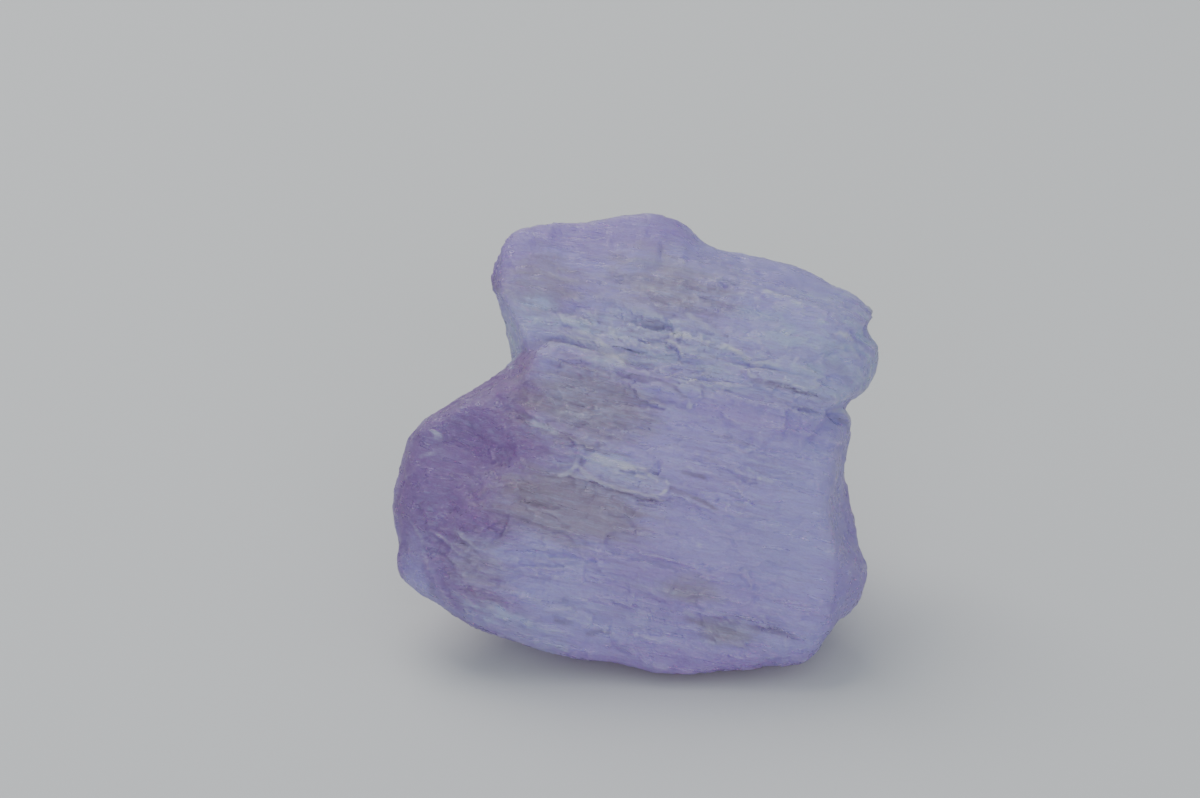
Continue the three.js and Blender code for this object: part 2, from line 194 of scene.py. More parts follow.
        (1, -7.9, -3.6, -5.9, -4.4, 0, 0.25, 0.6), (1, -1.1, -3.2, 0.2, -3.9, 0, 0.3, 0.5),
        (1, 11.9, 2.4, 12.9, 1.3, 0.4, 0.3, 0.6), (1, 11.1, 5.8, 13.3, 4.2, 0.5, 0.8, 0.4),
        (1, -7.1, 10.6, -6.3, 9.8, 0.4, 0.3, 0.5), (1, -13.9, -3.6, -12.1, -6.9, 0.2, 0.2, 0.3),
        (1, -13.8, -3.3, -9.6, -6.6, 0.3, 0.2, 0.3), (1, 0, 2.7, 2, 2.2, 0, 0.22, 0.3),
        (1, 3.8, 1.6, 7, 0.6, 0, 0.22, 0.5), (1, -5, -5.6, -2.5, -6.3, 0, 0.22, 0.4),
        (1, 0.9, -6.6, 3.8, -7.4, 0, 0.22, 0.4), (-1, -8, 4.2, -2, 2.8, 0.1, 0.3, 0.7),
        (-1, 0, 2, 5, 0.8, 0, 0.3, 0.7), (-1, -3, -3.4, 4, -5.2, 0.2, 0.3, 0.7),
        (-1, 4, 6.9, 8, 5.8, 0, 0.3, 0.6), (-1, -9, -6, -4, -7.4, 0.3, 0.3, 0.6),
        (-1, 7, -1.5, 10, -2.4, 0, 0.3, 0.6),
    ],
    "strokeRise": 0.07,
    "strokeEnds": (-0.1, 0.15),  # the shares of its length between which a line comes in
    "waver": (0.14, (1.1, 2.2, 1.0), 51),
    # splinters: rise, cells per mm across the fibres and along them, seed
    "splinters": [(0.32, 0.62, 0.2, 11), (0.18, 1.3, 0.3, 12), (0.08, 2.4, 0.5, 13)],
    # chips: rise, cells per mm, the share of them that the front keeps, seed
    "chips": [(0.5, 0.28, 0.12, 21), (0.22, 0.7, 0.4, 22), (0.08, 1.7, 0.9, 23)],
    "chipLevel": 0.3,  # how much of its rise a chip is sunk by
    "frontFrom": (-6.0, -3.0),
    "cutThrough": (0.70, 0.92),  # from where to where the stone's ends are chipped all ways
    # noises: rise, turns per mm along, across and through the fibres, seed
    "bends": [(0.5, (0.16, 0.15, 0.15), 3), (0.15, (0.6, 0.6, 0.6), 4)],
    "fraying": (0.26, (0.35, 1.8, 1.8), 5),
    "lumps": [(0.05, (0.6, 0.6, 0.6), 31), (0.03, (1.5, 1.5, 1.5), 32)],
    "patches": (0.3, 0.6, (0.16, 0.34, 0.34), 13),  # strength, how far up it is full, as above
    # side, u, v, half length, half width, turn and strength of the most splintered places
    "splintered": [
        (1, 1.5, 6.6, 8.5, 2.4, -14, 1), (1, -2, 3.4, 4.5, 2.6, -14, 0.6),
        (1, -1.6, -1.3, 4.5, 2, -18, 0.8), (1, 9.5, 4, 5, 1.6, -12, 0.8),
        (1, 2.6, 10.6, 5.5, 1.8, -14, 0.6), (1, -5.5, -3.4, 3.6, 1.4, -12, 0.35),
        (1, 6, -1.2, 6, 3.4, -14, 0.45), (1, 10.5, 7, 4.5, 2.6, -14, 0.4),
        (1, 6.5, -10.8, 4.5, 1.4, -14, 0.2), (1, -4, -10.6, 3, 1.2, -14, 0.3),
        (-1, 1, 3.2, 9, 3, -14, 0.75), (-1, -4, -4, 6, 2.4, -14, 0.65),
        (-1, 4, 8, 5, 2, -14, 0.6),
    ],
    "splinteredEdge": (0.5, 1.3),  # from where to where such a place fades out
    "splinterShare": (0.22, 1.1),  # everywhere, and more in those places
    # the fan spreads from one point, between two turns. Each of its ridges has a height, turns
    # per degree and per mm away from the point, and a seed.
    "fan": {
        "u": -14.7, "v": -3.6, "turns": (-88, -8), "soft": 15, "length": 9.5, "rise": 0.11,
        "start": (0.4, 1.5), "fadeFrom": 0.6, "tone": 0.5,
        "ridges": [(1, (0.22, 0.25, 0), 41), (0.5, (0.5, 0.4, 0), 42)],
    },
}


def smooth(low, high, x):
    # 0 below low, 1 above high, and an S curve between
    share = np.clip((x - low) / (high - low), 0, 1)
    return share * share * (3 - 2 * share)


def onSide(point, side):
    # 1 on the front for side 1, or on the back for side -1, and 0 from the middle on
    return smooth(*stone["sideFade"], point[:, 2] * side)


def facing(turn, tilt):
    # a direction turned from u towards v, then tilted towards w
    turn, tilt = math.radians(turn), math.radians(tilt)
    flat = math.cos(tilt)
    return np.array([math.cos(turn) * flat, math.sin(turn) * flat, math.sin(tilt)])


def closedCurve(points, per=12):
    # Catmull-Rom: each stretch is a cubic through two points, with slopes from their neighbours
    p = np.array(points, float)
    a, b, c, d = (np.roll(p, k, axis=0)[:, None] for k in (1, 0, -1, -2))
    x = np.linspace(0, 1, per, endpoint=False)[None, :, None]
    cubic = 2*b + (c - a)*x + (2*a - 5*b + 4*c - d)*x**2 + (3*b - a - 3*c + d)*x**3
    return (cubic / 2).reshape(-1, 3)


def slabReach(slab, ray):
    # each face gives the share of its distance that 1 mm of the ray covers, and a high power
    # mean of the shares follows the nearest face and rounds the edges a little
    power = stone["crispness"]
    faces = np.array([facing(turn, tilt) / away for turn, tilt, away in slab["breaks"]])
    total = (np.maximum(ray @ faces.T, 0) ** power).sum(axis=1)
    if "rim" in slab:
        curve = closedCurve(slab["rim"])
        angle = np.arctan2(curve[:, 1], curve[:, 0])
        curve, angle = curve[np.argsort(angle)], np.sort(angle)
        at = np.arctan2(ray[:, 1], ray[:, 0])
        reach = np.interp(at, angle, np.hypot(curve[:, 0], curve[:, 1]), period=2 * math.pi)
        forward = np.interp(at, angle, curve[:, 2], period=2 * math.pi)
        share = np.hypot(ray[:, 0], ray[:, 1]) / reach
        taperFront, taperBack = slab["taper"]
        front = np.maximum(share + taperFront * ray[:, 2], 0) / (1 + taperFront * forward)
        back = np.maximum(share - taperBack * ray[:, 2], 0) / (1 - taperBack * forward)
        total += (front ** power + back ** power) / 2
    return np.maximum(total, 1e-300) ** (-1 / power)


def fibreFrame(point):
    # u and v turned by the fibres' slope: along the fibres, across them and through the stone
    slope = math.radians(stone["fibreSlope"])
    along = point[:, 0] * math.cos(slope) + point[:, 1] * math.sin(slope)
    across = point[:, 1] * math.cos(slope) - point[:, 0] * math.sin(slope)
    return along, across, point[:, 2]


# columns of large numbers that turn a lattice point into four unrelated ones
scramble = np.array([
    [127.1, 269.5, 113.5, 419.2],
    [311.7, 183.3, 271.9, 371.9],
    [74.7, 246.1, 124.6, 53.3],
])


def chance(mixed, seed):
    # the far decimals of a sine, from 0 to 1
    value = np.sin(mixed + seed * 19.19) * 43758.5453
    return value - np.floor(value)


def noiseAt(place, turns, seed):
    # value noise from -1 to 1: a number for each lattice point, blended smoothly between them
    place = [p * t for p, t in zip(place, turns)]
    cell = [np.floor(p) for p in place]
    part = [p - c for p, c in zip(place, cell)]
    part = [f * f * (3 - 2 * f) for f in part]
    total = 0
    for corner in range(8):
        step = [(corner >> k) & 1 for k in range(3)]
        mixed = sum((c + d) * k for c, d, k in zip(cell, step, scramble[:, 0]))
        weight = np.prod([f if d else 1 - f for f, d in zip(part, step)], axis=0)
        total = total + weight * chance(mixed, seed)
    return 2 * total - 1


def noises(place, layers):
    # a sum of noises, each times its rise
    return sum(rise * noiseAt(place, turns, seed) for rise, turns, seed in layers)


def cellHeight(place, turns, seed):
    # small flat plates: each point belongs to the nearest of a lattice of strewn centres, and
    # stands on that centre's own tilted plane, from about -0.5 to 0.5
    at = np.stack([p * t for p, t in zip(place, turns)], axis=-1)
    cell = np.floor(at)
    nearest, height = np.full(len(at), 9.0), np.zeros(len(at))
    for corner in range(27):
        here = cell + (corner % 3 - 1, corner // 3 % 3 - 1, corner // 9 - 1)
        drawn = chance(here @ scramble, seed)
        offset = at - here - drawn[:, :3]
        away = (offset ** 2).sum(axis=1)
        plane = drawn[:, 3] - 0.5 + (offset * (drawn[:, 1:4] - 0.5)).sum(axis=1)
        height = np.where(away < nearest, plane, height)
        nearest = np.minimum(nearest, away)
    return height


def swellHeight(point):
    # a sum of long sine waves
    along, across, through = fibreFrame(point)
    return sum(
        height * np.sin(up * across + deep * through + run * along + phase)
        for height, up, deep, run, phase in stone["swells"]
    )


def lineFrame(point, u0, v0, u1, v1):
    # how far along a line from its start each point is, how far above it, and its length
    length = math.hypot(u1 - u0, v1 - v0)
    c, s = (u1 - u0) / length, (v1 - v0) / length
    du, dv = point[:, 0] - u0, point[:, 1] - v0
    return du * c + dv * s, dv * c - du * s, length


def ovalFrame(point, u, v, halfLength, halfWidth, turn):
    # place within an oval: 1 on its edge, along its length and across it
    c, s = math.cos(math.radians(turn)), math.sin(math.radians(turn))
    du, dv = point[:, 0] - u, point[:, 1] - v
    return (du * c + dv * s) / halfLength, (dv * c - du * s) / halfWidth


def jogAt(along, phase):
    # the lip keeps to one level over most of each length, then steps to the next one
    jog = stone["jog"]
    count = np.floor(along / jog["length"])
    share = smooth(jog["stepFrom"], 1, along / jog["length"] - count)
    here, after = (np.sin(jog["shuffle"] * (count + k) + phase) for k in (0, 1))
    return jog["depth"] * ((1 - share) * here + share * after)


def ledgeHeight(point):
    # above its lip a ledge dies away slowly, and below it drops off at once
    height, ends = np.zeros(len(point)), stone["ledgeEnds"]
    for side, u0, v0, u1, v1, rise, fade, drop, phase in stone["ledges"]:
        along, over, length = lineFrame(point, u0, v0, u1, v1)
        over = over - jogAt(along + phase, phase)
        above, below = np.exp(-np.maximum(over, 0) / fade), 1 - smooth(0, drop, -over)
        run = smooth(-ends, ends, along) * (1 - smooth(length - ends, length + ends, along))
        height += rise * np.where(over > 0, above, below) * run * onSide(point, side)
    return height


def dentDepth(point):
    # an oval hollow, deepest in the middle, with a slightly lobed edge
    depth = np.zeros(len(point))
    for side, u, v, halfLength, halfWidth, turn, deep, level in stone["dents"]:
        x, y = ovalFrame(point, u, v, halfLength, halfWidth, turn)
        out = np.hypot(x, y) * (1 + stone["dentLobes"] * np.sin(3 * np.arctan2(y, x) + u))
        depth += deep * (1 - smooth(level, stone["dentEdge"], out)) * onSide(point, side)
    return depth


def plateHeight(point):
    # a wedge inside a blunt oval with torn ends: flush at its upper edge and proud at its lower
    height, shape = np.zeros(len(point)), stone["plateShape"]
    torn = noiseAt(fibreFrame(point), shape["tear"], shape["seed"])
    for side, u, v, halfLength, halfWidth, turn, rise in stone["plates"]:
        x, y = ovalFrame(point, u, v, halfLength, halfWidth, turn)
        x, y = x + shape["tornEnds"] * torn, y + shape["tornSides"] * torn
        wave = shape["wave"] * np.sin(shape["waveTurns"] * x + u)
        out = (x ** 4 + (y + wave) ** 4) ** 0.25
        wedge = np.clip(shape["middle"] - shape["gain"] * y, 0, 1)
        height += rise * wedge * (1 - smooth(*shape["edge"], out)) * onSide(point, side)
    return height


def splinteredAt(point):
    # how splintered each place is, from 0 to 1: the ovals, and a few patches anywhere
    strength, full, turns, seed = stone["patches"]
    share = strength * smooth(0.0, full, noiseAt(fibreFrame(point), turns, seed))
    for side, u, v, halfLength, halfWidth, turn, strength in stone["splintered"]:
        x, y = ovalFrame(point, u, v, halfLength, halfWidth, turn)
        inside = (1 - smooth(*stone["splinteredEdge"], np.hypot(x, y))) * onSide(point, side)
        share = np.maximum(share, strength * inside)
    return share


def fineRelief(point):
    # splinters: small plates that are long along the fibres and short across them, with ends
    # torn into points. Where the fibres are cut through it is chipped the same all ways.
    place = along, across, through = fibreFrame(point)
    cutThrough = smooth(*stone["cutThrough"], abs(along) / np.linalg.norm(point, axis=1))
    front = smooth(*stone["frontFrom"], through)
    up = across + noises(place, stone["bends"])
    frayed = noises((along, up, through), [stone["fraying"]])
    least, more = stone["splinterShare"]
    rugged = (least + more * splinteredAt(point)) * (1 - cutThrough)
    height = noises(place, stone["lumps"])
    for rise, fine, run, seed in stone["splinters"]:
        # the fraying counts in cells, so it is added after the run
        cells = cellHeight((along * run + frayed, up, through), (1, fine, fine), seed)
        height += rise * rugged * cells
    for rise, fine, kept, seed in stone["chips"]:
        chip = cellHeight(place, (fine, fine, fine), seed) - stone["chipLevel"]
        height += rise * (1 - (1 - kept) * front) * chip
    return height


def fanHeight(point):
    # fine ridges that spread out from one point of a break, like the hackles round a blow
    fan = stone["fan"]
    du, dv = point[:, 0] - fan["u"], point[:, 1] - fan["v"]
    turn, away = np.degrees(np.arctan2(dv, du)), np.hypot(du, dv)
    low, high = fan["turns"]
    spread = smooth(low, low + fan["soft"], turn) * (1 - smooth(high - fan["soft"], high, turn))
    fade = smooth(fan["length"] * fan["fadeFrom"], fan["length"], away)
    ridge = sum(
        height * (0.5 - abs(noiseAt((turn, away, 0 * away), turns, seed)))
        for height, turns, seed in fan["ridges"]
    )
    reach = smooth(*fan["start"], away) * (1 - fade)
    return fan["rise"] * ridge * spread * reach * onSide(point, 1)


def strokes(point, lines):
    # each line is full in its middle, fades to its sides and ends, and wavers a little
    waver = noises(point.T, [stone["waver"]])
    start, full = stone["strokeEnds"]
    tone = np.zeros(len(point))
    for side, u0, v0, u1, v1, bow, halfWidth, strength in lines:
        along, over, length = lineFrame(point, u0, v0, u1, v1)
        along = along / length
        over = over + waver - bow * 4 * along * (1 - along)
        ends = smooth(start, full, along) * (1 - smooth(1 - full, 1 - start, along))
        sides = 1 - smooth(0.2, 1, abs(over) / halfWidth)
        tone = np.maximum(tone, strength * ends * onSide(point, side) * sides)
    return tone


def stoneReach(ray):
    # the slabs, the broad swells, the ledges and dents, the shell-shaped breaks, and last the
    # flat break that it stands on
    slabs = [stone[name] for name in ("lowerSlab", "upperSlab", "heel")]
    away = np.max([slabReach(slab, ray) for slab in slabs], axis=0)
    away = away + swellHeight(ray * away[:, None])
    at = ray * away[:, None]
    away = away + ledgeHeight(at) + plateHeight(at) - dentDepth(at)
    for centre, radius in stone["shells"]:
        centre = np.array(centre, float)
        towards = ray @ centre
        clearance = radius ** 2 - (centre @ centre - towards ** 2)
        entry = towards - np.sqrt(np.maximum(clearance, 0))
        away = np.where((clearance > 0) & (towards > 0), np.minimum(away, entry), away)
    down = ray @ facing(270, -stone["lean"])
    ground = stone["heartHeight"] / np.maximum(down, 1e-6)
    return np.where(down > 1e-6, np.minimum(away, ground), away)


def boxGrid(counts, halfSizes):
    # rays through the points of six even grids on a box of the stone's rough proportions, with
    # the quads between them
    rays, quads, offset = [], [], 0
    for axis in range(3):
        a, b = (axis + 1) % 3, (axis + 2) % 3
        for side in (1, -1):
            na, nb = counts[a], counts[b]
            ray = np.empty((na + 1, nb + 1, 3))
            ray[..., axis] = side * halfSizes[axis]
            ray[..., a] = np.linspace(-halfSizes[a], halfSizes[a], na + 1)[:, None]
            ray[..., b] = np.linspace(-halfSizes[b], halfSizes[b], nb + 1)[None, :]
            index = np.arange((na + 1) * (nb + 1)).reshape(na + 1, nb + 1) + offset
            ring = [index[:-1, :-1], index[1:, :-1], index[1:, 1:], index[:-1, 1:]]
            quads.append(np.stack(ring[::side], axis=-1).reshape(-1, 4))
            rays.append(ray.reshape(-1, 3))
            offset += index.size
    # neighbouring grids share their border points
    rays, keep = np.unique(np.concatenate(rays).round(9), axis=0, return_inverse=True)
    return rays / np.linalg.norm(rays, axis=1)[:, None], keep.reshape(-1)[np.concatenate(quads)]


def surfaceNormals(point, quads):
    # the cross product of each quad's diagonals, summed at its corners
    a, b, c, d = (point[quads[:, k]] for k in range(4))
    shared = np.repeat(np.cross(c - a, d - b), 4, axis=0)
    total = [np.bincount(quads.ravel(), shared[:, k], len(point)) for k in range(3)]
    total = np.stack(total, axis=-1)
    return total / np.linalg.norm(total, axis=1)[:, None]


def creaseOf(mesh, place, rounds=8):
    # how far each point stands out of the same surface smoothed down, in mm: positive on lips
    # and edges, negative in the hollows and under the ledges
    ends = np.empty(len(mesh.edges) * 2, np.int64)
    mesh.edges.foreach_get("vertices", ends)
    a, b = ends.reshape(-1, 2).T
    count = np.bincount(ends, minlength=len(place))[:, None]
    level = place
    for _ in range(rounds):
        total = [np.bincount(a, level[b, k], len(place)) + np.bincount(b, level[a, k], len(place))
                 for k in range(3)]
        level = 0.5 * level + 0.5 * np.stack(total, axis=-1) / count
    normal = np.empty(len(place) * 3)
    mesh.vertex_normals.foreach_get("vector", normal)
    return ((place - level) * normal.reshape(-1, 3)).sum(axis=1)


def upright(point):
    # from the stone's own frame to the world's, in mm: tipped back by its lean, and raised
    u, v, w = point.T
    lean = math.radians(stone["lean"])
    return np.stack([
        u,
        v * math.sin(lean) - w * math.cos(lean),
        v * math.cos(lean) + w * math.sin(lean) + stone["heartHeight"],
    ], axis=-1)


def makeCrystal():
    # the grid's first way is turned to run along the fibres, and each ray is as long as the
    # stone reaches. The fine relief then stands straight out of that surface.
    ray, quads = boxGrid(stone["grid"], stone["box"])
    slope = math.radians(stone["fibreSlope"])
    c, s = math.cos(slope), math.sin(slope)
    u, v, w = ray.T
    ray = np.stack([u * c - v * s, v * c + u * s, w], axis=-1)
    point = ray * stoneReach(ray)[:, None]
    stroke = strokes(point, stone["whiteMarksAndHighlights"]) - strokes(point, stone["cracksAndLedgeShadows"])
    fan = fanHeight(point)
    place = upright(point)
    relief = fineRelief(point) + fan + stone["strokeRise"] * stroke
    relief *= smooth(0, stone["footFade"], place[:, 2])
    place += surfaceNormals(place, quads) * relief[:, None]
    place[:, 2] = np.maximum(place[:, 2], 0)
    mesh = bpy.data.meshes.new("crystalSurface")
    mesh.from_pydata((place * mm).tolist(), [], quads.tolist())
    mesh.shade_smooth()
    for name, values in (
        ("crease", creaseOf(mesh, place)),
        # the strokes' tone: above 0 white marks with painted glints and highlights, below 0 cracks
        # with painted ledge shadows, plus the fan's ridges
        ("marksAndPaintedLight", stroke + stone["fan"]["tone"] * fan / stone["fan"]["rise"]),
        ("lively", splinteredAt(point)),
    ):
        attribute = mesh.attributes.new(name, "FLOAT", "POINT")
        attribute.data.foreach_set("value", values.astype(np.float32))
    crystal = bpy.data.objects.new("kunziteFragment", mesh)
    bpy.context.collection.objects.link(crystal)
    return crystal


def linear(hexColour):
    # sRGB hex to linear: the low end is a straight line, and the rest a power of 2.4
    parts = [int(hexColour[k:k + 2], 16) / 255 for k in (1, 3, 5)]
    return [p / 12.92 if p <= 0.04045 else ((p + 0.055) / 1.055) ** 2.4 for p in parts] + [1.0]


def addNode(tree, kind, inputs, **settings):
    # a node with its settings and links: an input is a value, a socket to link, or a node, whose
    # first live output is linked
    node = tree.nodes.new(kind)
    for name, value in settings.items():
        setattr(node, name, value)
    for name, value in inputs.items():
        if isinstance(value, bpy.types.Node):
            value = next(output for output in value.outputs if output.enabled)
        if isinstance(value, bpy.types.NodeSocket):
            tree.links.new(value, node.inputs[name])
        else:
            node.inputs[name].default_value = value
    return node


kunziteLook = {
    "body": "#b5b0f8",
    "deep": "#aa92e4",
    "violet": "#9068b6",
    "smoke": "#989096",
    "frostAndLitPatches": "#c4d6ff",
    "marksAndPaintedLight": "#dfeaff",
    "crackAndShade": "#786c8a",
    "transmission": 0.5,
    "ior": 1.66,
    "roughness": (0.2, 0.6),
    "milky": 0.8,
    "milkyReach": 0.002,  # m
    "absorb": "#f48cc4",
    "absorbDensity": 130.0,  # per m
    # how far, in mm, noise pushes the zones and the fibres about, and its turns per mm
    "zoneBend": 1.8,
    "fibreSway": 0.5,
    "warp": 0.35,
    # where a zone starts and is full, as shares of its oval, then how far a noise tears it and
    # between which sums of the two it comes in
    "zoneEdge": {"oval": (1.3, 0.2), "tear": 1.6, "border": (0.9, 1.75)},
    "smokeShare": 0.7,
    # shares that follow an S curve: where it starts and ends, and the most
    "curves": {
        "deepened": (0.40, 0.66, 0.5), "chunky": (0.45, 0.62, 1.0), "patchy": (0.47, 0.62, 0.22),
        "endOn": (0.35, 0.8, 1.0), "lip": (0.01, 0.12, 1.0), "hollowShade": (-0.01, -0.18, 1.0),
        "whitened": (0.1, 0.8, 0.8), "darkened": (-0.1, -0.8, 0.7),
    },
    # shares that follow another one in a straight line: what they follow, the gain, the base
    "lines": {
        "lively": ("rugged", 0.82, 0.18), "lengthwise": ("endOn", -1.0, 1.0),
        "mostlyLengthwise": ("endOn", -0.6, 1.0), "frosted": ("chunky", 0.66, 0.32),
        "bruisedAndLit": ("frostAndLitPatches", 0.35, 0.07), "ragged": ("fine", 0.6, 0.4),
    },
    "shaded": (0.3, 0.08),  # gain and base of the shade in the hollows
    # Turns per mm across the fibres, the share of that along them, detail and roughness. Real
    # fibres are finer than a render shows, so the hairs are drawn about 0.1 mm wide.
    "noises": {
        "broad": (0.3, 0.4, 3.0, 0.6),
        "patches": (0.45, 0.4, 2.0, 0.6),
        "chunks": (1.0, 0.35, 4.0, 0.65),
        "streaks": (1.3, 0.16, 6.0, 0.7),
        "strands": (3.2, 0.05, 4.0, 0.8),
        "hairs": (9.0, 0.07, 3.0, 0.8),
        "grain": (11.0, 0.55, 2.0, 0.7),
    },
    "needles": {"wide": (1.6, 0.16), "fine": (3.6, 0.12)},
    # where each noise turns light and dark, and how strongly
    "tones": {
        "wide": ((0.62, 1.0, 0.2), (0.36, 0.0, 0.16)),
        "fine": ((0.72, 1.0, 0.35), (0.26, 0.0, 0.24)),
        "strands": ((0.50, 0.75, 0.72), (0.49, 0.25, 0.5)),
        "hairs": ((0.50, 0.70, 0.8), (0.50, 0.30, 0.58)),
        "grain": ((0.50, 0.75, 0.22), (0.50, 0.25, 0.22)),
    },
    # how far each noise stands out, in mm
    "bumps": {"grain": 0.02, "hairs": 0.03, "fine": 0.04, "strands": 0.06, "wide": 0.05,
              "streaks": 0.12},
    # soft ovals, with the noise that tears their borders: centre, half sizes, turn, strength
    "zones": {
        "violet": ("broad", [
            ((-12, -1.2, 3), (8.5, 7, 9), 20, 1), ((-13.5, -5, 2), (5, 4, 8), 0, 0.8),
            ((-10.5, 3.4, 1), (7, 2.6, 8), 36, 1.1), ((-10.5, -8.5, 2), (6.5, 3.2, 8), -35, 0.8),
            ((-8.6, 2.8, 3), (4, 2.6, 6), 20, 1.2), ((-9, 12.2, -1), (1.5, 2.8, 6), -20, 0.9),
        ]),
        # the deep ovals along the top, right and bottom rims are painted light, the saturated
        # violet of light passing through the thin edges; the other two deepen the stone's own
        # violet
        "deep": ("streaks", [
            ((-8, 13, 0), (3, 3, 8), 0, 0.9), ((-2, 14.6, 0), (8, 2.6, 8), 3, 1.2),
            ((13.9, -5, 0), (1.8, 8, 8), 0, 0.55), ((-4, 6, 3), (4, 1.6, 4), 25, 0.6),
            ((2, -13.4, 2), (12, 2.4, 8), 0, 1.1), ((3, -9, 3), (9, 3.4, 6), -5, 0.7),
        ]),
        "smoke": ("streaks", [
            ((-4.4, -3, 5), (6.5, 3, 5), -10, 1), ((1.5, 11, 3), (7.5, 3.6, 4), -13, 0.8),
            ((-3.4, 3, 4), (5.8, 4, 4), -13, 0.85), ((5, -10.8, 4), (2.6, 1.3, 4), -15, 0.8),
            ((-10, -7, 4), (3.8, 2.4, 4), -40, 0.48), ((2.9, -8.2, 4), (2.2, 1.2, 4), -10, 0.7),
            ((-6, 10.8, 2), (3.5, 3, 5), 0, 0.75), ((4, 1, -7), (6, 3, 4), -14, 0.9),
            ((-5, -6, -6), (5, 2.4, 4), -14, 0.8),
        ]),
        # the etched frosting, except the ovals at u 14.2, v 6 on the right rim and at u -2.3, v 5.9
        # under the neck ledge, which are painted light where the lamps leave those places dark
        "frostAndLitPatches": ("streaks", [
            ((0, 7.3, 3), (8, 2, 4), -10, 1.1), ((10.5, 6.6, 3), (6.5, 4.4, 5), -15, 0.9),
            ((-1.3, -0.6, 5), (3.6, 1.1, 4), -20, 0.75), ((2, 12, 5), (9, 3, 5), -13, 0.5),
            ((4, 5.2, 5), (3, 1.6, 4), -20, 0.8), ((1, -9, 4), (8, 3, 5), -5, 0.25),
            ((-8.2, -10.4, 2), (5, 1.3, 6), -27, 0.8), ((14.2, 6, 0), (1.7, 4, 6), 0, 0.9),
            ((-2.3, 5.9, 3), (2.4, 0.9, 4), -20, 1), ((3.6, 7.2, 3), (3.4, 1.1, 4), -15, 1),
            ((-6.3, 9, 1), (2.2, 1.8, 5), -10, 0.8), ((-8.2, 7.2, -1), (1.4, 2.8, 5), 0, 0.9),
            ((12.5, 8, 1), (4, 3.4, 6), -15, 0.75), ((-1, 6.5, -5), (8, 2.2, 4), -14, 0.9),
            ((3, -5, -8), (7, 2, 4), -14, 0.8),
        ]),
    },
}


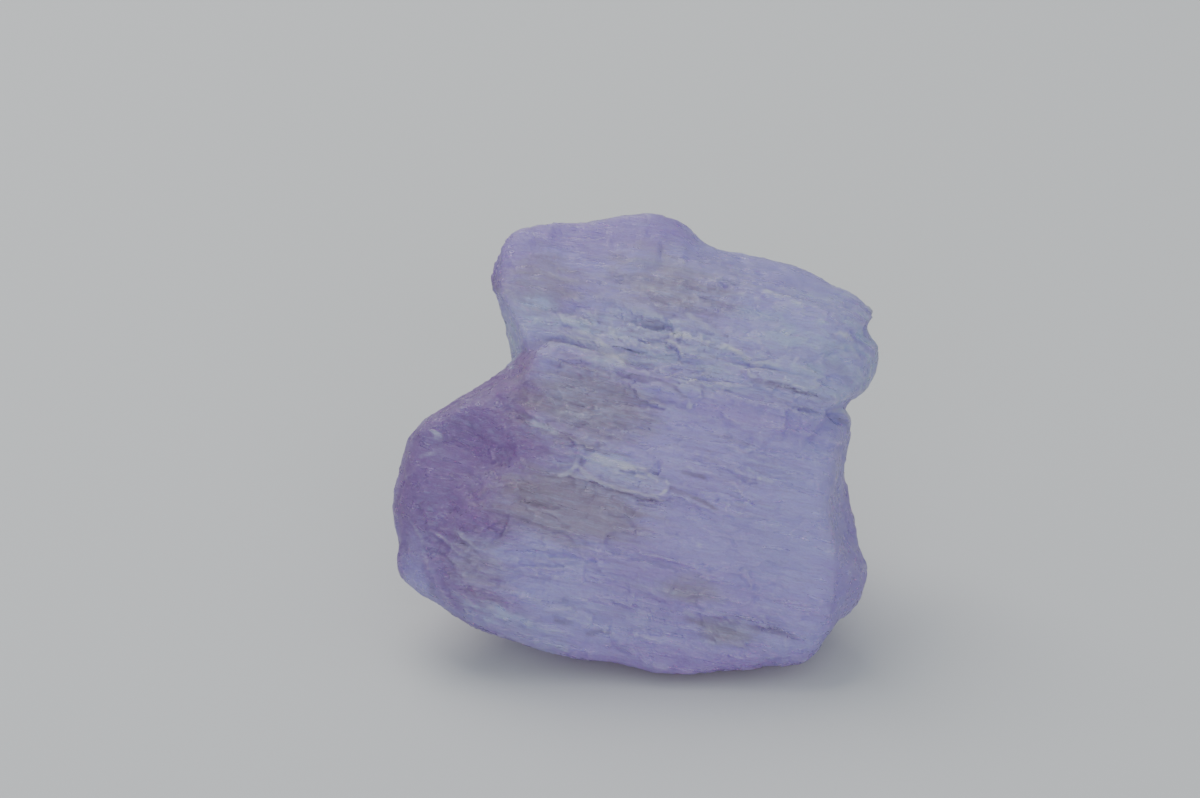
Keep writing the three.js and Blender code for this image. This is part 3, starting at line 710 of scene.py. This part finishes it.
def kunziteMaterial():
    # Clear violet spodumene, milky with fine fibres. The surface is etched and splintered, so
    # it is frosted along the fibres, with colour that pools violet in the thick end.
    look = kunziteLook
    material = bpy.data.materials.new("etchedKunzite")
    material.use_nodes = True
    tree = material.node_tree
    tree.nodes.clear()
    coords = addNode(tree, "ShaderNodeTexCoord", {})
    inStone = addNode(tree, "ShaderNodeMapping", {
        "Vector": coords.outputs["Object"],
        "Location": (0, 0, stone["heartHeight"] * mm),
        "Rotation": (math.radians(90 - stone["lean"]), 0, 0),
        "Scale": (mm, mm, mm),
    }, vector_type="TEXTURE")
    warp = addNode(tree, "ShaderNodeTexNoise", {
        "Vector": inStone, "Scale": look["warp"], "Detail": 3.0,
    }).outputs["Color"]
    bent, swayed = (
        addNode(tree, "ShaderNodeVectorMath", {0: warp, 1: (push, push, push), 2: inStone},
                operation="MULTIPLY_ADD")
        for push in (look["zoneBend"], look["fibreSway"])
    )
    inFibres = addNode(tree, "ShaderNodeMapping", {
        "Vector": swayed, "Rotation": (0, 0, math.radians(stone["fibreSlope"])),
    }, vector_type="TEXTURE")

    def alongFibres(texture, across, run, inputs):
        # a texture drawn out along the fibres: its turns per mm across them, and the share of
        # that along them
        stretched = addNode(tree, "ShaderNodeVectorMath", {
            0: inFibres, 1: (across * run, across, across),
        }, operation="MULTIPLY")
        return addNode(tree, texture, {"Vector": stretched, "Scale": 1.0, **inputs})

    def zoneShare(ragged, ovals):
        # the strongest oval counts, and its border is drawn out into streaks
        total, edge = 0.0, look["zoneEdge"]
        for centre, size, turn, strength in ovals:
            placed = addNode(tree, "ShaderNodeMapping", {
                "Vector": bent, "Location": [c + look["zoneBend"] / 2 for c in centre],
                "Rotation": (0, 0, math.radians(turn)), "Scale": size,
            }, vector_type="TEXTURE")
            share = addNode(tree, "ShaderNodeMapRange", {
                "Value": addNode(tree, "ShaderNodeVectorMath", {0: placed}, operation="LENGTH"),
                "From Min": edge["oval"][0], "From Max": edge["oval"][1], "To Max": strength,
            }, interpolation_type="SMOOTHSTEP")
            total = addNode(tree, "ShaderNodeMath", {0: total, 1: share}, operation="MAXIMUM")
        torn = addNode(tree, "ShaderNodeMath", {0: ragged, 1: edge["tear"], 2: total},
                       operation="MULTIPLY_ADD")
        return addNode(tree, "ShaderNodeMapRange", {
            "Value": torn, "From Min": edge["border"][0], "From Max": edge["border"][1],
        }, interpolation_type="SMOOTHSTEP")

    def layOver(under, name, *shares):
        # one of the look's colours over what is there, by the product of the shares
        share = shares[0]
        for more in shares[1:]:
            share = addNode(tree, "ShaderNodeMath", {0: share, 1: more}, operation="MULTIPLY")
        return addNode(tree, "ShaderNodeMix", {0: share, 6: under, 7: linear(look[name])},
                       data_type="RGBA")

    noise = {
        name: alongFibres("ShaderNodeTexNoise", across, run, {"Detail": detail, "Roughness": rough})
        for name, (across, run, detail, rough) in look["noises"].items()
    }
    # needles are cells drawn out along the fibres, each with its own random tone and gloss
    gloss = {}
    for name, (across, run) in look["needles"].items():
        cells = alongFibres("ShaderNodeTexVoronoi", across, run, {})
        drawn = addNode(tree, "ShaderNodeSeparateColor", {0: cells.outputs["Color"]})
        noise[name], gloss[name] = drawn.outputs["Red"], drawn.outputs["Green"]
    zone = {
        name: zoneShare(noise[ragged], ovals) for name, (ragged, ovals) in look["zones"].items()
    }
    crease, marksAndPaintedLight, rugged = (
        addNode(tree, "ShaderNodeAttribute", {}, attribute_name=name).outputs["Fac"]
        for name in ("crease", "marksAndPaintedLight", "lively")
    )
    lean, slope = math.radians(stone["lean"]), math.radians(stone["fibreSlope"])
    fibreWay = (math.cos(slope), math.sin(slope) * math.sin(lean), math.sin(slope) * math.cos(lean))
    normal = addNode(tree, "ShaderNodeNewGeometry", {}).outputs["Normal"]
    slant = addNode(tree, "ShaderNodeVectorMath", {0: normal, 1: fibreWay}, operation="DOT_PRODUCT")
    slant = addNode(tree, "ShaderNodeMath", {0: slant}, operation="ABSOLUTE")

    followed = {
        "deepened": noise["broad"], "chunky": noise["chunks"], "patchy": noise["patches"],
        "endOn": slant, "lip": crease, "hollowShade": crease, "whitened": marksAndPaintedLight, "darkened": marksAndPaintedLight,
    }
    curve = {
        name: addNode(tree, "ShaderNodeMapRange", {
            "Value": followed[name], "From Min": start, "From Max": end, "To Max": most,
        }, interpolation_type="SMOOTHSTEP")
        for name, (start, end, most) in look["curves"].items()
    }
    # the fibres show best in patches, and where the stone is frosted or splintered. Where they
    # are cut through they leave only a faint grain.
    rugged = addNode(tree, "ShaderNodeMath", {0: rugged, 1: curve["patchy"]}, operation="MAXIMUM")
    source = {"rugged": rugged, **curve, **zone, **noise}
    line = {
        name: addNode(tree, "ShaderNodeMath", {0: source[other], 1: gain, 2: base},
                      operation="MULTIPLY_ADD")
        for name, (other, gain, base) in look["lines"].items()
    }
    splintery, lively = (
        addNode(tree, "ShaderNodeMath", {0: line["lively"], 1: line[name]}, operation="MULTIPLY")
        for name in ("lengthwise", "mostlyLengthwise")
    )
    gain, base = look["shaded"]
    shaded = addNode(tree, "ShaderNodeMath", {0: lively, 1: gain, 2: base},
                     operation="MULTIPLY_ADD")
    colour = layOver(linear(look["body"]), "deep", curve["deepened"])
    colour = layOver(colour, "violet", zone["violet"])
    colour = layOver(colour, "deep", zone["deep"])
    colour = layOver(colour, "smoke", zone["smoke"], look["smokeShare"])
    colour = layOver(colour, "frostAndLitPatches", zone["frostAndLitPatches"], line["frosted"])
    # a few hard splinters, long soft strands and hairs, and an even grain
    where = {"wide": [splintery], "fine": [splintery], "strands": [lively], "hairs": [lively],
             "grain": []}
    for name, tones in look["tones"].items():
        for over, (start, end, most) in zip(("frostAndLitPatches", "crackAndShade"), tones):
            drawn = addNode(tree, "ShaderNodeMapRange", {
                "Value": noise[name], "From Min": start, "From Max": end, "To Max": most,
            }, interpolation_type="SMOOTHSTEP")
            colour = layOver(colour, over, drawn, *where[name])
    # lips and edges are whitened, partly as bruising and partly as painted highlight, and the
    # hollows get painted shade
    colour = layOver(colour, "marksAndPaintedLight", curve["lip"], line["bruisedAndLit"])
    colour = layOver(colour, "crackAndShade", curve["hollowShade"], shaded)
    # the strokes: white marks and painted glints and highlights, then cracks and painted shadows
    # under the ledges
    colour = layOver(colour, "marksAndPaintedLight", curve["whitened"], line["ragged"])
    colour = layOver(colour, "crackAndShade", curve["darkened"], line["ragged"])

    # one bump from the sum of all the heights, in mm
    height = 0.0
    for name, rise in look["bumps"].items():
        height = addNode(tree, "ShaderNodeMath", {0: noise[name], 1: rise, 2: height},
                         operation="MULTIPLY_ADD")
    dull, duller = look["roughness"]
    reach = look["milkyReach"]
    surface = addNode(tree, "ShaderNodeBsdfPrincipled", {
        "Base Color": colour,
        "Roughness": addNode(tree, "ShaderNodeMapRange", {
            "Value": gloss["fine"], "To Min": dull, "To Max": duller,
        }),
        "IOR": look["ior"], "Transmission Weight": look["transmission"],
        "Subsurface Weight": look["milky"], "Subsurface Radius": (reach, reach, reach),
        "Subsurface Scale": 1.0,
        "Normal": addNode(tree, "ShaderNodeBump", {
            "Height": height, "Strength": 1.0, "Distance": mm,
        }),
    })
    absorb = addNode(tree, "ShaderNodeVolumeAbsorption", {
        "Color": linear(look["absorb"]), "Density": look["absorbDensity"],
    })
    addNode(tree, "ShaderNodeOutputMaterial", {"Surface": surface, "Volume": absorb})
    return material


# places and sizes are in metres, and powers in watts
studio = {
    "floor": "#c4c6c6",
    "floorSize": 2.0,
    "floorRoughness": 0.7,
    "sky": "#e8f0f8",
    "skyStrength": 0.68,
    "lightsAim": (0, 0, 0.01),
    "keyLight": {"place": (-0.14, 0.20, 0.42), "size": 0.35, "power": 1.6, "colour": "#fffaf4"},
    "fillLight": {"place": (0.03, -0.52, 0.12), "size": 0.5, "power": 2.05, "colour": "#f4f4ff"},
}


def makeFloor():
    # One square, level and at height 0. Matt pale card, with only a broad soft shine.
    half = studio["floorSize"] / 2
    mesh = bpy.data.meshes.new("floorSurface")
    corners = [(-half, -half, 0), (half, -half, 0), (half, half, 0), (-half, half, 0)]
    mesh.from_pydata(corners, [], [(0, 1, 2, 3)])
    material = bpy.data.materials.new("paleFloor")
    material.use_nodes = True
    shader = material.node_tree.nodes["Principled BSDF"]
    shader.inputs["Base Color"].default_value = linear(studio["floor"])
    shader.inputs["Roughness"].default_value = studio["floorRoughness"]
    mesh.materials.append(material)
    floor = bpy.data.objects.new("floor", mesh)
    bpy.context.collection.objects.link(floor)
    return floor


def addSoftLight(name):
    # a square lamp that looks at the stone's foot
    light = studio[name]
    data = bpy.data.lights.new(name, "AREA")
    data.size = light["size"]
    data.energy = light["power"]
    data.color = linear(light["colour"])[:3]
    lamp = bpy.data.objects.new(name, data)
    lamp.location = light["place"]
    towards = Vector(studio["lightsAim"]) - lamp.location
    lamp.rotation_euler = towards.to_track_quat("-Z", "Y").to_euler()
    bpy.context.collection.objects.link(lamp)


# The elevation is in degrees and all lengths are mm. The aim is where the camera's axis meets
# the plane through the heart, to the right of it and up it.
camera = {"elevation": 28.0, "distance": 300.0, "lens": 144.0, "sensor": 36.0, "aim": (-2.5, 3.5)}


def makeCamera():
    # it looks straight at the broad face: back from the heart along the face's own normal
    data = bpy.data.cameras.new("camera")
    data.lens = camera["lens"]
    data.sensor_width = camera["sensor"]
    data.clip_start = 0.01
    rise = math.radians(camera["elevation"])
    right = Vector((1, 0, 0))
    up = Vector((0, math.sin(rise), math.cos(rise)))
    back = Vector((0, -math.cos(rise), math.sin(rise)))
    heart = Vector((0, 0, stone["heartHeight"]))
    place = heart + right * camera["aim"][0] + up * camera["aim"][1] + back * camera["distance"]
    eye = bpy.data.objects.new("camera", data)
    turned = Matrix((right, up, back)).transposed().to_4x4()
    eye.matrix_world = Matrix.Translation(place * mm) @ turned
    bpy.context.collection.objects.link(eye)
    bpy.context.scene.camera = eye


crystal = makeCrystal()
crystal.data.materials.append(kunziteMaterial())
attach(crystal, "root")
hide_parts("crystal")
print("crystal:", len(crystal.data.polygons), "faces")

floor = makeFloor()
world = bpy.data.worlds.new("studio")
world.use_nodes = True
world.node_tree.nodes["Background"].inputs["Color"].default_value = linear(studio["sky"])
world.node_tree.nodes["Background"].inputs["Strength"].default_value = studio["skyStrength"]
bpy.context.scene.world = world
addSoftLight("keyLight")
addSoftLight("fillLight")
makeCamera()
print("studio: floor, two lights, camera")
